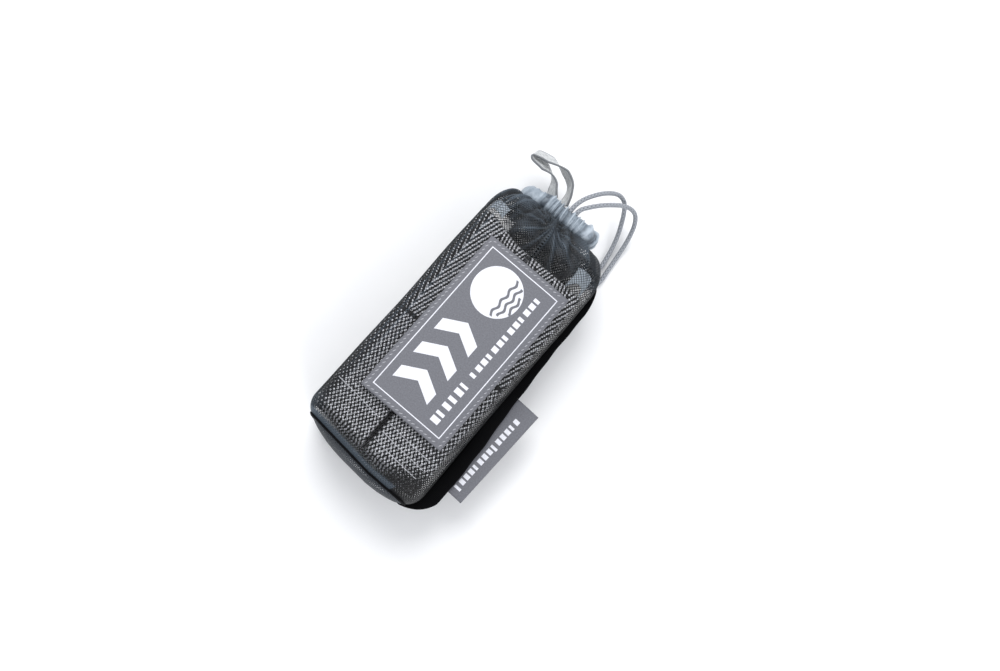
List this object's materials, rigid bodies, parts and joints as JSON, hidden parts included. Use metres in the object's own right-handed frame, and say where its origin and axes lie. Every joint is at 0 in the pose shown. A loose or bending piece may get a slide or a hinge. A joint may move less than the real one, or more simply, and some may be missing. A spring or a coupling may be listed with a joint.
{
  "type": "packed hammock suspension straps",
  "caption": "Hammock suspension straps folded inside a black mesh drawstring stuff sack with a front label, side tag, hang loop and cord lock.",
  "frame": {"origin": "middle of the flat patch of the sack's back, on the surface that it rests on", "axes": "+Y towards the drawn mouth, +Z out of the front with the label, +X towards the bound side seam"},
  "size_m": [0.0754, 0.1646, 0.0401],
  "materials": {
    "net": "matte black knitted polyester net",
    "webbing": "charcoal herringbone webbing with pale flecks",
    "rope": "grey hollow braid",
    "channel_cloth": "slate blue-grey plain nylon with a soft sheen",
    "drawcord": "grey braided cord",
    "binding_tape": "black ribbed binding tape",
    "label_cloth": "grey satin-weave label with white print",
    "tag_cloth": "grey woven tag with white print",
    "hang_tape": "light grey grosgrain tape",
    "lock_plastic": "moulded black acetal",
    "spring_steel": "drawn spring wire"
  },
  "bodies": {
    "sack": {"mesh_body": "net", "mesh_base": "net", "base_seam_tape": "binding_tape", "side_binding": "binding_tape", "front_label": "label_cloth", "drawcord_channel": "channel_cloth", "webbing_left": "webbing", "webbing_right": "webbing", "rope_hank_left": "rope", "rope_hank_right": "rope", "rope_eye_left": "rope", "rope_eye_right": "rope", "drawcord_in_channel": "drawcord", "drawcord_strand_a": "drawcord", "drawcord_strand_b": "drawcord", "drawcord_end_knot": "drawcord"},
    "cord_lock": {"cord_lock_body": "lock_plastic", "cord_lock_spring": "spring_steel"},
    "lock_plunger": {"cord_lock_plunger": "lock_plastic"},
    "hang_loop": {"hang_loop": "hang_tape"},
    "side_tag": {"side_tag": "tag_cloth"}
  },
  "joints": [
    {"name": "cord_lock_slide", "type": "slide", "parent": "sack", "child": "cord_lock", "axis": [1, 0, 0], "range_m": [-0.0055, 0.004]},
    {"name": "lock_press", "type": "slide", "parent": "cord_lock", "child": "lock_plunger", "axis": [0, -1, 0], "range_m": [0, 0.0025], "stiffness_N_per_m": 400, "springref_m": -0.001, "deforming": ["cord_lock_spring"]},
    {"name": "side_tag_flap", "type": "hinge", "parent": "sack", "child": "side_tag", "pos_m": [0.032, -0.025, 0.0183], "axis": [0, 1, 0], "range_deg": [0, 42], "stiffness_Nm_per_rad": 0.002},
    {"name": "hang_loop_swing", "type": "hinge", "parent": "sack", "child": "hang_loop", "pos_m": [-0.0085, 0.0756, 0.019], "axis": [0, 0, 1], "range_deg": [-16, 16], "stiffness_Nm_per_rad": 0.002}
  ]
}
